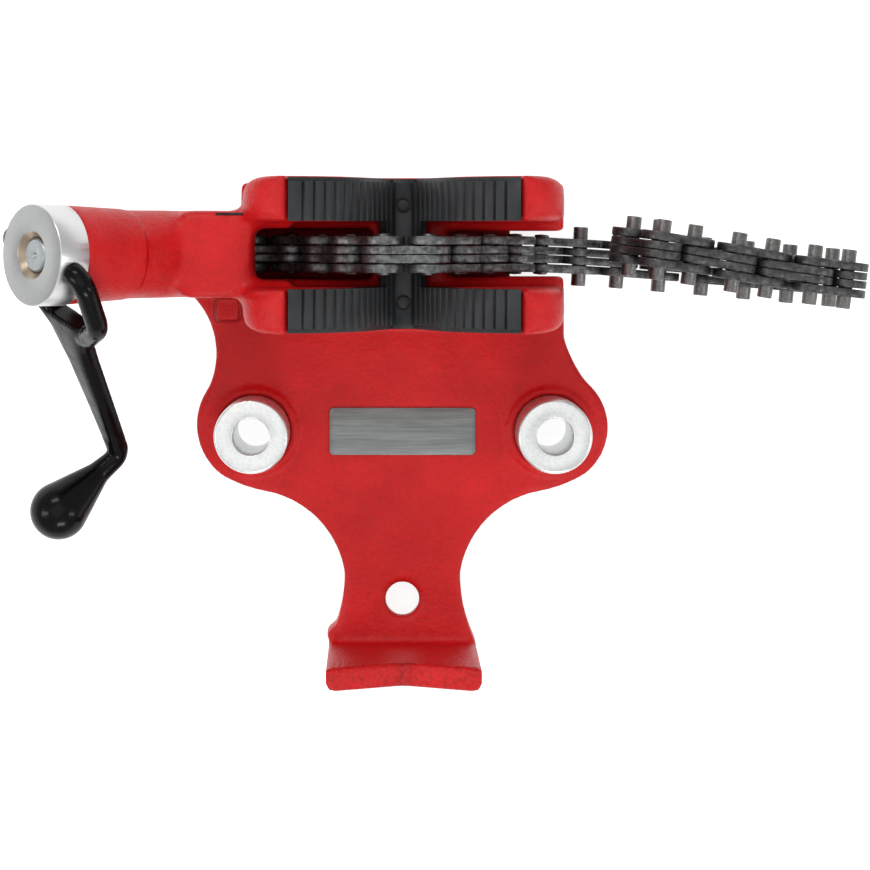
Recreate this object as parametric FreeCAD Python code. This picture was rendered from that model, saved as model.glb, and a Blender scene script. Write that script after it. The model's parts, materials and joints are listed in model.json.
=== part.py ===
import FreeCAD, Part
import math
import os

# Bench chain vise for pipe. Millimetres. Origin on the bench under the middle of the jaw.
# X runs across the pipe, towards the loose end of the chain. Y runs along the pipe. Z is up.

V = FreeCAD.Vector

# Base plate
plateTop = 20.0
plateThickness = 8.0
skirtWall = 5.0
plateHalf = 90.8
plateReach = 182.0
plateBack = 31.0
sideX = 71.4
sideEndY = -37.5
neckReachX = 93.6
neckHalf = 18.2
neckTop = 85.0
# Places on the plate's edge as shares of its half width and of its reach to the pipe rest
lobeTopShare = (0.894, 0.313)
lobeTopMidShare = (0.823, 0.2545)
lobeOuterShare = (1.0, 0.430)
lobeLowShare = (0.877, 0.540)
lobeFootMidShare = (0.770, 0.5645)
lobeFootShare = (0.640, 0.581)
waistMidShare = (0.405, 0.649)
waistShare = (0.2815, 0.775)
flareMidShare = (0.295, 0.850)
leftTopMidShare = (0.906, 0.247)
leftLobeShare = (0.942, 0.326)

# Bolt places
boltAcrossShare = 0.72
boltReachShare = 0.432
boltX = boltAcrossShare * plateHalf
boltY = -boltReachShare * plateReach
bossRadius = 19.0
bossHeight = 2.4
bushRadius = 16.0
bushBore = 8.0
bushLength = 51.0
bushChamfer = 0.8
seatGap = 0.03
thirdHoleShare = 0.839
thirdHoleY = -thirdHoleShare * plateReach
thirdHoleRadius = 7.5

# Pipe rest at the far end
restHalf = 32.5
restThickness = 10.0
restTop = 88.0
restNotch = 15.0
restCorner = 4.0

# Jaw block
blockHalfY = 32.4
blockFootX = 71.2
blockHipX = 66.3
shoulderRadius = 20.0
blockTop = 112.0
blockPlanRadius = 14.0
blockEdgeRadius = 3.0
channelHalf = 13.75
ledgeTop = 58.0
ledgeThickness = 14.0
slotHalf = 9.7
slotInnerX = 18.0
slotThroughX = 47.5
passageHalf = 10.9
passageLeftX = -62.8
passageRightX = -13.3
nameRecess = 0.5

# Jaw
jawHalf = 47.2
jawHalfY = 31.8
jawInnerY = 13.9
bridgeHalf = 7.1
bridgeFootHalf = 13.6
bridgeFootTop = 56.5
rimWidth = 1.6
rimDrop = 1.3
troughHalf = 3.4
troughZ = 64.5
flankAngle = 67.0
flankLength = 24.5
endAngle = 18.0
endRun = 6.3
jawThickness = 9.0
jawUnderZ = 54.0
endGap = 0.3
toothPitch = 4.9
toothHalfWidth = 0.75
toothDepth = 0.9
jawPinY = 20.5
jawPinRadius = 2.4
jawPinBottom = 40.0
jawPinRing = 3.4
jawPinRingDepth = 1.2
runningGap = 0.05

# Name plate, left bare
nameHalfX = 32.15
nameHalfY = 10.35
nameY = boltY
nameThickness = 1.0
nameCorner = 2.0

# Casting details
padAcrossShare = 0.844
padNeckShare = 1.346
padX = -padAcrossShare * plateHalf
padY = -padNeckShare * neckHalf
padHalf = 5.7
padHeight = 3.5
padCorner = 2.0
nubAcrossShare = 0.99
nubReachShare = 0.921
nubX = -nubAcrossShare * restHalf
nubY = -nubReachShare * plateReach
nubRadius = 2.0
windowLeftX = -78.4
windowRightX = -66.8
windowNearY = 16.3
windowFarY = 17.3
windowBottom = 60.0

# Screw axis, leaning towards -X
axisTopX = -151.0
axisTopZ = 115.0
axisAngle = 42.0
nutRadius = 20.75
nutThickness = 14.0
nutBevel = 10.0
nutBevelDepth = 2.8
nutGap = 0.05
screwRadius = 7.0
screwRecess = 1.5
centreDrill = 1.6
barrelTopRadius = 20.5
barrelWaistRadius = 19.0
barrelNeckRadius = 18.5
barrelShoulder = 44.8
barrelEnd = 100.0
barrelBore = 8.0
tunnelReach = 27.8
tunnelUnder = 11.0
tunnelOver = 17.0
neckWall = 5.0
tongueRun = 11.2
tongueHalf = 3.6
tongueHeight = 6.4
eyeRadius = 7.4
eyeSlot = 3.2

# Chain
pitch = 19.05
linkEnd = 9.0
waistHalf = 7.0
plateWidth = 3.6
innerGap = 0.1
layerGap = 0.42
chainPinRadius = 3.2
holeRadius = 3.48
shortPin = 8.6
tallPin = 13.0
endFacets = 8
pinFacets = 10
endSpreadShare = 0.9
bridgeX = -8.5
bridgeZ = 83.4
# Slopes of the links in degrees, up positive, from the bridge outwards
leftSlopeAngles = (-44.0, -50.0, -44.5)
rightSlopeAngles = (0.0, -46.0, -50.5, -49.0, -50.0, -23.0, -22.0)
coilFloorSlopeAngles = (-6.0, 0.0, 0.0, 0.0, 0.0)
foldSlopeAngles = (79.0, 150.0)
coilTopSlopeAngles = (180.0, 148.0, 180.0, 142.0, 235.0, 312.5, -5.5)
# Turns of the links in plan, in degrees: straight in the vise, then round towards the coil
straightLinks = 3
yawStepAngle = -1.0
yawLimitAngle = -4.9
foldYawAngles = (-6.0, -7.2)
coilTopYawAngles = (-8.4, -9.6, -9.8, -8.6, -7.4, -6.6, -6.0)
firstTall = 11

# Crank handle, swung back from square to the screw; the grip leans on past square to the arm
swingAngle = 33.1
gripLeanAngle = 12.0
handleTurnAngle = 110.0
pivotReach = 15.0
pivotRadius = 4.0
pivotOut = 22.0
legStart = 21.0
legReach = 26.6
legRadius = 4.9
legBend = 5.2
legStraight = 20.0
kneeBend = 9.0
forkDepth = 42.0
forkHalf = 4.2
forkBend = 14.0
forkEnd = 58.0
forkEndHalf = 2.6
stemStart = 44.0
armRadius = 3.8
armLength = 108.5
elbowBend = 7.0
gripStart = 12.0
gripStartRadius = 5.2
gripLength = 35.5
ballRadius = 12.4
ballCapAngle = 78.0
ballRings = 5
barSides = 14
pivotHole = 4.06

up = V(0, 0, 1)
radians = math.radians
fullTurn = 360
axisTop = V(axisTopX, 0, axisTopZ)
flankRun = flankLength * math.cos(radians(flankAngle))
arcRun = jawHalf - endRun - troughHalf - flankRun
jawArcRadius = arcRun / (math.sin(radians(flankAngle)) - math.sin(radians(endAngle)))
jawSurface = flankLength + jawArcRadius * radians(flankAngle - endAngle)
toothCount = int(jawSurface / toothPitch + 0.5)
tilt = radians(axisAngle)
axisOut = V(-math.cos(tilt), 0, math.sin(tilt))
axisSide = V(math.sin(tilt), 0, math.cos(tilt))


def onAxis(depth, lift=0.0):
    """Point at a depth below the nut's face, lifted square to the axis."""
    return axisTop - axisOut * depth + axisSide * lift


def box(x0, x1, y0, y1, z0, z1):
    return Part.makeBox(x1 - x0, y1 - y0, z1 - z0, V(x0, y0, z0))


def prism(points, direction):
    """Closed straight-sided outline, pushed along a direction."""
    wire = Part.makePolygon(points + [points[0]])
    return Part.Face(wire).extrude(direction)


def roundedRectangle(halfX, halfY, corner, z, height, x=0.0, y=0.0):
    body = box(x - halfX, x + halfX, y - halfY, y + halfY, z, z + height)
    edges = [e for e in body.Edges if abs(e.tangentAt(0).z) > 0.9]
    return body.makeFillet(corner, edges)


# Casting


def edgePoint(share, side=1, z=0.0):
    return V(side * share[0] * plateHalf, -share[1] * plateReach, z)


def plateWire():
    """Plate outline: jaw side, two bolt lobes, waist and flared end."""
    arc = lambda a, b, c: Part.Arc(a, b, c).toShape()
    line = lambda a, b: Part.makeLine(a, b)
    restInner = -(plateReach - restThickness)
    rightTop = V(sideX, plateBack, 0)
    rightSide = V(sideX, sideEndY, 0)
    leftTop = V(-neckReachX, -neckHalf, 0)
    edges = [line(rightTop, rightSide)]
    edges.append(arc(rightSide, edgePoint(lobeTopMidShare), edgePoint(lobeTopShare)))
    tops = {1: edgePoint(lobeTopShare), -1: edgePoint(leftLobeShare, -1)}
    for side in (1, -1):
        part = [arc(tops[side], edgePoint(lobeOuterShare, side), edgePoint(lobeLowShare, side))]
        part.append(
            arc(
                edgePoint(lobeLowShare, side),
                edgePoint(lobeFootMidShare, side),
                edgePoint(lobeFootShare, side),
            )
        )
        part.append(
            arc(
                edgePoint(lobeFootShare, side),
                edgePoint(waistMidShare, side),
                edgePoint(waistShare, side),
            )
        )
        part.append(
            arc(
                edgePoint(waistShare, side),
                edgePoint(flareMidShare, side),
                V(side * restHalf, restInner, 0),
            )
        )
        edges += part
    edges.append(line(V(restHalf, restInner, 0), V(-restHalf, restInner, 0)))
    edges.append(arc(edgePoint(leftLobeShare, -1), edgePoint(leftTopMidShare, -1), leftTop))
    edges.append(line(leftTop, V(-neckReachX, neckHalf, 0)))
    edges.append(line(V(-neckReachX, neckHalf, 0), V(-blockFootX, neckHalf, 0)))
    edges.append(line(V(-blockFootX, neckHalf, 0), V(-blockFootX, plateBack, 0)))
    edges.append(line(V(-blockFootX, plateBack, 0), rightTop))
    return Part.Wire(Part.__sortEdges__(edges))


def basePlate():
    """Plate hollow below, with its rim, posts and middle left to the bench."""
    face = Part.Face(plateWire())
    plate = face.extrude(up * plateTop)
    pocket = face.makeOffset2D(-skirtWall).extrude(up * (plateTop - plateThickness))
    keep = [box(-neckReachX, sideX, -neckHalf, plateBack, 0, plateTop)]
    for x in (-boltX, boltX):
        keep.append(Part.makeCylinder(bossRadius, plateTop, V(x, boltY, 0)))
    for solid in keep:
        pocket = pocket.cut(solid)
    return plate.cut(pocket)


def blockPrism():
    """Front view of the jaw block, with its rounded shoulders."""
    top = blockTop
    inner = blockHipX - shoulderRadius
    start = plateTop - plateThickness
    corner = shoulderRadius * math.sqrt(0.5)
    midX = inner + corner
    midZ = top - shoulderRadius + corner
    hipZ = top - shoulderRadius
    y = -blockHalfY
    right = [V(blockFootX, y, start), V(blockHipX, y, hipZ), V(midX, y, midZ), V(inner, y, top)]
    left = [V(-p.x, p.y, p.z) for p in right]
    edges = [
        Part.makeLine(right[0], right[1]),
        Part.Arc(right[1], right[2], right[3]).toShape(),
        Part.makeLine(right[3], left[3]),
        Part.Arc(left[3], left[2], left[1]).toShape(),
        Part.makeLine(left[1], left[0]),
        Part.makeLine(left[0], right[0]),
    ]
    solid = Part.Face(Part.Wire(edges)).extrude(V(0, 2 * blockHalfY, 0))
    plan = roundedRectangle(blockFootX, blockHalfY, blockPlanRadius, start, top)
    return solid.common(plan)


def jawCurve(depth, side, y):
    """Jaw surface from the trough outwards, moved in by a depth: flank, arc and end."""
    flank = radians(flankAngle)
    end = radians(endAngle)
    foot = V(troughHalf, y, troughZ)
    knee = foot + V(math.cos(flank), 0, math.sin(flank)) * flankLength
    centre = knee + V(math.sin(flank), 0, -math.cos(flank)) * jawArcRadius
    radius = jawArcRadius - depth

    def onArc(angle):
        return centre + V(-math.sin(angle), 0, math.cos(angle)) * radius

    start = onArc(flank)
    foot = start - V(math.cos(flank), 0, math.sin(flank)) * flankLength
    last = onArc(end)
    tip = last + V(1, 0, math.tan(end)) * (jawHalf - last.x)
    points = [foot, start, onArc((flank + end) / 2), last, tip]
    return [V(side * p.x, p.y, p.z) for p in points]


def underPoint(y, side):
    """Where the underside flank meets the flat under the trough."""
    foot, start = jawCurve(jawThickness, 1, y)[:2]
    share = (foot.z - jawUnderZ) / (start.z - foot.z)
    return V(side * (foot.x - (start.x - foot.x) * share), y, jawUnderZ)


def spaceAbove(depth, feet, y, run):
    """Everything above the jaw surface moved in by a depth, between the block's shoulders."""
    reach = jawHalf + endGap
    roof = 2 * blockTop
    edges = [Part.makeLine(feet[0], feet[1])]
    edges.append(Part.makeLine(V(reach, y, roof), V(-reach, y, roof)))
    for side, foot in zip((-1, 1), feet):
        start, mid, last, tip = jawCurve(depth, side, y)[1:]
        wall = V(side * reach, y, tip.z)
        edges.append(Part.makeLine(foot, start))
        edges.append(Part.Arc(start, mid, last).toShape())
        edges.append(Part.makeLine(last, tip))
        edges.append(Part.makeLine(tip, wall))
        edges.append(Part.makeLine(wall, V(side * reach, y, roof)))
    wire = Part.Wire(Part.__sortEdges__(edges))
    return Part.Face(wire).extrude(V(0, run, 0))


def seatSpace():
    """Room for the jaw between the shoulders, with the casting left up to its middle."""
    y = -blockHalfY - blockTop
    space = spaceAbove(jawThickness, [underPoint(y, -1), underPoint(y, 1)], y, -2 * y)
    far = 2 * blockTop
    middle = box(-far, far, -channelHalf, channelHalf, 0, 2 * far)
    seat = bridgeFootHalf + endGap
    bridge = box(-seat, seat, -far, far, 0, 2 * far)
    return space.cut(middle).fuse(space.common(bridge))


def pipeRest():
    """Upright wall with a shallow V in its top."""
    y = -plateReach
    points = [V(-restHalf, y, 0), V(restHalf, y, 0), V(restHalf, y, restTop)]
    points += [V(0, y, restTop - restNotch), V(-restHalf, y, restTop)]
    wall = prism(points, V(0, restThickness, 0))
    corners = [V(side * restHalf, y, restTop / 2) for side in (-1, 1)]
    edges = [e for e in wall.Edges if any(e.CenterOfMass.isEqual(c, endGap) for c in corners)]
    return wall.makeFillet(restCorner, edges)


def barrel():
    """Leaning tube for the screw, with its step, run into the neck."""
    start = nutThickness + nutGap
    top = Part.makeCone(
        barrelTopRadius, barrelWaistRadius, barrelShoulder - start, onAxis(start), -axisOut
    )
    length = barrelEnd - barrelShoulder
    low = Part.makeCylinder(barrelNeckRadius, length, onAxis(barrelShoulder), -axisOut)
    return top.fuse(low)


def neck():
    """Square neck that carries the barrel and joins the jaw block."""
    body = box(-neckReachX, -blockHipX + shoulderRadius, -neckHalf, neckHalf, 0, neckTop)
    edges = []
    for edge in body.Edges:
        middle = edge.CenterOfMass
        if abs(middle.z - neckTop) < endGap and abs(abs(middle.y) - neckHalf) < endGap:
            edges.append(edge)
    return body.makeFillet(blockEdgeRadius, edges)


def tunnel():
    """Hollow of the neck, for the first links and the screw's tongue."""
    start = tongueDepth()
    end = eyeDepth() + tunnelReach
    corners = [
        onAxis(start, -tunnelUnder),
        onAxis(end, -tunnelUnder),
        onAxis(end, tunnelOver),
        onAxis(start, tunnelOver),
    ]
    side = V(0, passageHalf, 0)
    space = prism([p - side for p in corners], side * 2)
    space = space.common(box(-neckReachX * 2, 0, -passageHalf, passageHalf, plateTop, blockTop))
    left = -neckReachX + neckWall
    roof = onAxis(end, tunnelOver).z
    return space.fuse(box(left, passageLeftX, -passageHalf, passageHalf, plateTop, roof))


def castingCuts():
    far = 2 * blockTop
    cuts = [
        box(-jawHalf, far, -channelHalf, channelHalf, ledgeTop, far),
        box(-neckReachX, 0, -channelHalf, channelHalf, neckTop, far),
        box(passageLeftX, passageRightX, -passageHalf, passageHalf, plateTop, far),
        box(slotInnerX, far, -slotHalf, slotHalf, plateTop, far),
        box(slotInnerX, far, -channelHalf, channelHalf, plateTop, ledgeTop - ledgeThickness),
        box(slotThroughX, far, -channelHalf, channelHalf, -plateTop, plateTop),
        box(windowLeftX, windowRightX, windowNearY, windowFarY, windowBottom, far),
        Part.makeCylinder(barrelBore, tongueDepth(), onAxis(0), -axisOut),
        Part.makeCylinder(thirdHoleRadius, far, V(0, thirdHoleY, -plateTop)),
        roundedRectangle(
            nameHalfX + endGap,
            nameHalfY + endGap,
            nameCorner,
            plateTop - nameRecess,
            plateTop,
            0.0,
            nameY,
        ),
    ]
    for x in (-boltX, boltX):
        cuts.append(Part.makeCylinder(bushRadius + seatGap, far, V(x, boltY, -plateTop)))
    for y in (-jawPinY, jawPinY):
        cuts.append(Part.makeCylinder(jawPinRadius + seatGap, far, V(0, y, jawPinBottom)))
    return cuts


def castingBody():
    body = basePlate().fuse([pipeRest(), barrel()])
    body = body.cut(box(-neckReachX, 0, -blockHalfY, blockHalfY, neckTop, blockTop))
    body = body.fuse([blockPrism().cut(seatSpace()), neck()])
    for x in (-boltX, boltX):
        body = body.fuse(Part.makeCylinder(bossRadius, bossHeight, V(x, boltY, plateTop)))
    pad = roundedRectangle(padHalf, padHalf, padCorner, plateTop, padHeight, padX, padY)
    nub = Part.makeCylinder(nubRadius, plateTop + bossHeight, V(nubX, nubY, 0))
    body = body.fuse([pad, nub])
    body = body.cut(castingCuts() + [tunnel()])
    return body.removeSplitter()


def castingNodes():
    """The one casting as four bodies that meet at flat joints, so that each stays simple."""
    whole = castingBody()
    far = 2 * plateReach
    padTop = plateTop + padHeight
    pad = box(padX - padHalf, padX + padHalf, padY - padHalf, padY + padHalf, plateTop, padTop)
    neckRoom = box(-far, -blockFootX, -blockHalfY, blockHalfY, plateTop, far).cut(pad)
    blockRoom = box(-blockFootX, far, -blockHalfY, blockHalfY, plateTop, far).cut(pad)
    restRoom = box(-far, far, -far, restThickness - plateReach, -far, far)
    return {
        "base_plate": whole.cut([neckRoom, blockRoom, restRoom]).removeSplitter(),
        "jaw_block": whole.common(blockRoom).removeSplitter(),
        "screw_neck": whole.common(neckRoom).removeSplitter(),
        "pipe_rest": whole.common(restRoom).removeSplitter(),
    }


# Jaw


def toothedTop(y, side):
    """Jaw surface from trough to end, with a small V groove at each tooth pitch."""
    foot, knee, mid, last, tip = jawCurve(0, side, y)
    flank = radians(flankAngle)
    end = radians(endAngle)
    centre = knee + V(side * math.sin(flank), 0, -math.cos(flank)) * jawArcRadius

    def onSurface(length, depth=0.0):
        turned = min(max(length - flankLength, 0), jawSurface - flankLength)
        beyond = max(length - jawSurface, 0)
        angle = flank - turned / jawArcRadius
        out = V(-side * math.sin(angle), 0, math.cos(angle))
        along = V(side * math.cos(angle), 0, math.sin(angle))
        point = foot + along * length
        if turned > 0:
            point = centre + out * jawArcRadius + along * beyond
        return point - out * depth

    points = [foot]
    for number in range(1, toothCount + 1):
        middle = number * toothPitch
        points.append(onSurface(middle - toothHalfWidth))
        points.append(onSurface(middle, toothDepth))
        points.append(onSurface(middle + toothHalfWidth))
    return points + [tip]


def jawRim(side):
    """Space above the jaw's plain outer rim, which lies below the teeth."""
    y = side * (jawHalfY - rimWidth)
    feet = [jawCurve(rimDrop, end, y)[0] for end in (-1, 1)]
    return spaceAbove(rimDrop, feet, y, side * 2 * rimWidth)


def jaw():
    """One H-shaped jaw: two toothed rows and the bridge between them."""
    y = -jawHalfY
    points = toothedTop(y, 1)
    left = toothedTop(y, -1)
    edges = [Part.makePolygon(points).Edges, Part.makePolygon(left).Edges]
    flat = edges[0] + edges[1] + [Part.makeLine(points[0], left[0])]
    for side, row in ((1, points), (-1, left)):
        start, mid, last, tip = jawCurve(jawThickness, side, y)[1:]
        flat.append(Part.makeLine(underPoint(y, side), start))
        flat.append(Part.Arc(start, mid, last).toShape())
        flat += [Part.makeLine(last, tip), Part.makeLine(tip, row[-1])]
    flat.append(Part.makeLine(underPoint(y, -1), underPoint(y, 1)))
    wire = Part.Wire(Part.__sortEdges__(flat))
    solid = Part.Face(wire).extrude(V(0, 2 * jawHalfY, 0))
    far = 2 * blockTop
    for side in (-1, 1):
        solid = solid.cut(jawRim(side))
        near, end = sorted((side * bridgeHalf, side * far))
        solid = solid.cut(box(near, end, -jawInnerY, jawInnerY, bridgeFootTop, far))
        near, end = sorted((side * bridgeFootHalf, side * far))
        solid = solid.cut(box(near, end, -jawInnerY, jawInnerY, 0, far))
    for place in (-jawPinY, jawPinY):
        solid = solid.cut(Part.makeCylinder(jawPinRadius + seatGap, far, V(0, place, 0)))
        ring = Part.makeCylinder(jawPinRing, far, V(0, place, troughZ - jawPinRingDepth))
        solid = solid.cut(ring)
    return solid


def jawPins():
    height = troughZ - jawPinBottom - seatGap
    pins = []
    for y in (-jawPinY, jawPinY):
        pins.append(Part.makeCylinder(jawPinRadius, height, V(0, y, jawPinBottom + seatGap)))
    return Part.makeCompound(pins)


# Bushings and name plate


def bushings():
    """Two turned bushings, with the top edge chamfered."""
    edge = bushLength - bushChamfer
    profile = [
        V(bushBore, 0, 0),
        V(bushRadius, 0, 0),
        V(bushRadius, 0, edge),
        V(bushRadius - bushChamfer, 0, bushLength),
        V(bushBore, 0, bushLength),
    ]
    face = Part.Face(Part.makePolygon(profile + [profile[0]]))
    turned = face.revolve(V(0, 0, 0), up, fullTurn)
    return Part.makeCompound([turned.translated(V(x, boltY, 0)) for x in (-boltX, boltX)])


def namePlate():
    bottom = plateTop - nameRecess
    return roundedRectangle(nameHalfX, nameHalfY, nameCorner, bottom, nameThickness, 0.0, nameY)


# Screw, nut and washer


def firstPinDepth():
    """Depth of the chain's second pin on the screw axis, one pitch from the pin outside."""
    outside = chainPins()["left"][-1]
    offset = outside - axisTop
    along = -offset.dot(axisOut)
    off = offset.dot(axisSide)
    return along - math.sqrt(pitch * pitch - off * off)


def eyeDepth():
    """Depth of the first pin, in the screw's eye, when the chain is straight on the axis."""
    return firstPinDepth() - pitch


def tongueDepth():
    """Depth where the round screw ends and its tongue begins, clear of the first link."""
    return eyeDepth() - linkEnd - tongueRun


def screw():
    """Screw with a flat tongue and a slotted eye for the first chain pin."""
    tongueStart = tongueDepth()
    rod = Part.makeCylinder(screwRadius, tongueStart - screwRecess, onAxis(screwRecess), -axisOut)
    edges = [e for e in rod.Edges if e.CenterOfMass.isEqual(onAxis(screwRecess), endGap)]
    rod = rod.makeChamfer(bushChamfer, edges)
    dimple = Part.makeCone(centreDrill, 0, centreDrill, onAxis(screwRecess), -axisOut)
    eye = eyeDepth()
    side = V(0, tongueHalf, 0)
    corners = [
        onAxis(tongueStart - screwRadius, -tongueHeight),
        onAxis(eye, -tongueHeight),
        onAxis(eye, tongueHeight),
        onAxis(tongueStart - screwRadius, tongueHeight),
    ]
    tongue = prism([p - side for p in corners], side * 2)
    head = Part.makeCylinder(eyeRadius, 2 * tongueHalf, onAxis(eye) - side, V(0, 1, 0))
    rod = rod.cut(dimple).fuse([tongue, head])
    for depth in (eye, eye - eyeSlot):
        rod = rod.cut(Part.makeCylinder(holeRadius, 4 * tongueHalf, onAxis(depth) - side * 2, V(0, 1, 0)))
    slot = [
        onAxis(eye - eyeSlot, -holeRadius),
        onAxis(eye, -holeRadius),
        onAxis(eye, holeRadius),
        onAxis(eye - eyeSlot, holeRadius),
    ]
    return rod.cut(prism([p - side * 2 for p in slot], side * 4)).removeSplitter()


def pivotAxis():
    """Line of the handle's pivot through the nut, square to the screw axis."""
    turn = radians(handleTurnAngle)
    down = axisSide * math.cos(turn) - V(0, 1, 0) * math.sin(turn)
    return axisOut.cross(down), down


def crankNut():
    nut = Part.makeCylinder(nutRadius, nutThickness, onAxis(0), -axisOut)
    edges = [e for e in nut.Edges if e.CenterOfMass.isEqual(onAxis(0), endGap)]
    nut = nut.makeChamfer(bushChamfer / 2, edges)
    nut = nut.cut(Part.makeCylinder(screwRadius + runningGap, nutThickness, onAxis(0), -axisOut))
    bevel = Part.makeCone(
        nutBevel, screwRadius + runningGap, nutBevelDepth, onAxis(0), -axisOut
    )
    nut = nut.cut(bevel)
    pivot, down = pivotAxis()
    middle = onAxis(nutThickness / 2)
    for side in (-1, 1):
        start = middle + pivot * (side * pivotOut)
        depth = pivotOut - pivotReach + endGap
        nut = nut.cut(Part.makeCylinder(pivotHole, depth, start, pivot * -side))
    return nut


# Crank handle


def bentStations(points, bends, radii):
    """Rings to loft through: place, heading and radius at each end and through each bend."""
    stations = [(points[0], points[1] - points[0], radii[0])]
    for index, bend in enumerate(bends):
        corner = points[index + 1]
        before = (points[index] - corner).normalize()
        after = (points[index + 2] - corner).normalize()
        inward = (before + after).normalize()
        half = before.getAngle(after) / 2
        middle = corner + inward * (bend / math.sin(half) - bend)
        cut = bend / math.tan(half)
        radius = radii[index + 1]
        stations.append((corner + before * cut, -before, radius))
        stations.append((middle, after - before, radius))
        stations.append((corner + after * cut, after, radius))
    stations.append((points[-1], points[-1] - points[-2], radii[-1]))
    return stations


def flatFace(points):
    return Part.Face(Part.makePolygon(points + [points[0]]))


def forgedBar(stations, normal):
    """Bar of flat faces from ring to ring, along a centre line that lies in one plane."""
    rings = []
    for place, heading, radius in stations:
        side = heading.cross(normal).normalize()
        ring = []
        for number in range(barSides):
            angle = math.tau * (number + 1 / 2) / barSides
            ring.append(place + (side * math.cos(angle) + normal * math.sin(angle)) * radius)
        rings.append(ring)
    faces = [flatFace(rings[0]), flatFace(rings[-1])]
    for near, far in zip(rings, rings[1:]):
        for number in range(barSides):
            after = (number + 1) % barSides
            faces.append(flatFace([near[number], near[after], far[after], far[number]]))
    return Part.makeSolid(Part.makeShell(faces))


def handle():
    """Forked crank: two legs into the nut, a tapered stem, an elbow and a teardrop grip."""
    pivot, down = pivotAxis()
    back = radians(swingAngle)
    lean = radians(swingAngle + gripLeanAngle)
    arm = down * math.cos(back) - axisOut * math.sin(back)
    grip = axisOut * math.cos(lean) + down * math.sin(lean)
    middle = onAxis(nutThickness / 2)

    def at(across, along, outward=0.0):
        return middle + pivot * across + arm * along + grip * outward

    pieces = []
    for side in (-1, 1):
        reach = pivotOut - pivotReach
        pieces.append(Part.makeCylinder(pivotRadius, reach, at(side * pivotReach, 0), pivot * side))
        points = [at(side * legStart, 0), at(side * legReach, 0), at(side * legReach, legStraight)]
        points += [at(side * forkHalf, forkDepth), at(side * forkEndHalf, forkEnd)]
        bends = [legBend, kneeBend, forkBend]
        pieces.append(forgedBar(bentStations(points, bends, [legRadius] * len(points)), pivot.cross(arm)))
    points = [at(0, stemStart), at(0, armLength), at(0, armLength, gripStart)]
    stations = bentStations(points, [elbowBend], [legRadius, armRadius, gripStartRadius])
    reach = gripLength - gripStart
    slant = math.asin(ballRadius / math.hypot(gripStartRadius, reach))
    slant -= math.atan(gripStartRadius / reach)
    for number in range(ballRings + 1):
        angle = -slant + (radians(ballCapAngle) + slant) * number / ballRings
        place = at(0, armLength, gripLength + ballRadius * math.sin(angle))
        stations.append((place, grip, ballRadius * math.cos(angle)))
    pieces.append(forgedBar(stations, pivot))
    return pieces[0].fuse(pieces[1:]).removeSplitter()


# Chain


def chainStep(point, slope, yaw):
    """Next pin, one pitch on at a slope in a plane turned by the yaw."""
    run = pitch * math.cos(radians(slope))
    rise = pitch * math.sin(radians(slope))
    return point + V(run * math.cos(radians(yaw)), run * math.sin(radians(yaw)), rise)


def chainPins():
    """Pin centres: left of the bridge, then to the right, through the coil."""
    left = [V(bridgeX, 0, bridgeZ)]
    for slope in leftSlopeAngles:
        left.append(chainStep(left[-1], fullTurn / 2 - slope, 0.0))
    right = [V(bridgeX, 0, bridgeZ)]
    yaws = []
    slopes = rightSlopeAngles + coilFloorSlopeAngles + foldSlopeAngles + coilTopSlopeAngles
    for number in range(len(rightSlopeAngles + coilFloorSlopeAngles)):
        yaws.append(max(yawLimitAngle, yawStepAngle * max(0, number - straightLinks + 1)))
    yaws += foldYawAngles + coilTopYawAngles
    for slope, yaw in zip(slopes, yaws):
        right.append(chainStep(right[-1], slope, yaw))
    return {"left": left, "right": right, "yaws": yaws}


def linkOutline(start, end, across):
    """Waisted link outline round two pins, with faceted ends."""
    along = (end - start).normalize()
    rise = across.cross(along)
    points = []
    spread = math.acos(waistHalf / linkEnd) * endSpreadShare
    for centre, heading in ((end, 1), (start, -1)):
        for number in range(endFacets + 1):
            angle = math.pi / 2 + spread - (math.pi + 2 * spread) * number / endFacets
            out = along * (heading * math.cos(angle)) + rise * (heading * math.sin(angle))
            points.append(centre + out * linkEnd)
    return points


def facetedPin(centre, across, radius, half):
    """Chain pin or pin hole with flat sides."""
    side = up.cross(across).normalize()
    points = []
    for number in range(pinFacets):
        angle = 2 * math.pi * number / pinFacets
        out = side * math.cos(angle) + up * math.sin(angle)
        points.append(centre + out * radius - across * half)
    return prism(points, across * (2 * half))


def acrossOf(yaw):
    return V(-math.sin(radians(yaw)), math.cos(radians(yaw)), 0)


def innerLink(start, end, yaw, holes=True):
    """Two plates side by side, bored for the pins."""
    across = acrossOf(yaw)
    outline = linkOutline(start, end, across)
    width = plateWidth * 2 + innerGap
    body = prism([p - across * (width / 2) for p in outline], across * width)
    if holes:
        for centre in (start, end):
            body = body.cut(facetedPin(centre, across, holeRadius, width))
    return body


def outerLink(start, end, yaw, halves):
    """Two outer plates riveted on two pins."""
    across = acrossOf(yaw)
    outline = linkOutline(start, end, across)
    inner = plateWidth + innerGap / 2 + layerGap
    pieces = []
    for offset in (inner, -inner - plateWidth):
        pieces.append(prism([p + across * offset for p in outline], across * plateWidth))
    for centre, half in zip((start, end), halves):
        pieces.append(facetedPin(centre, across, chainPinRadius, half))
    return pieces[0].fuse(pieces[1:])


def pinHalf(number):
    return tallPin if number >= firstTall else shortPin


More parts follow.
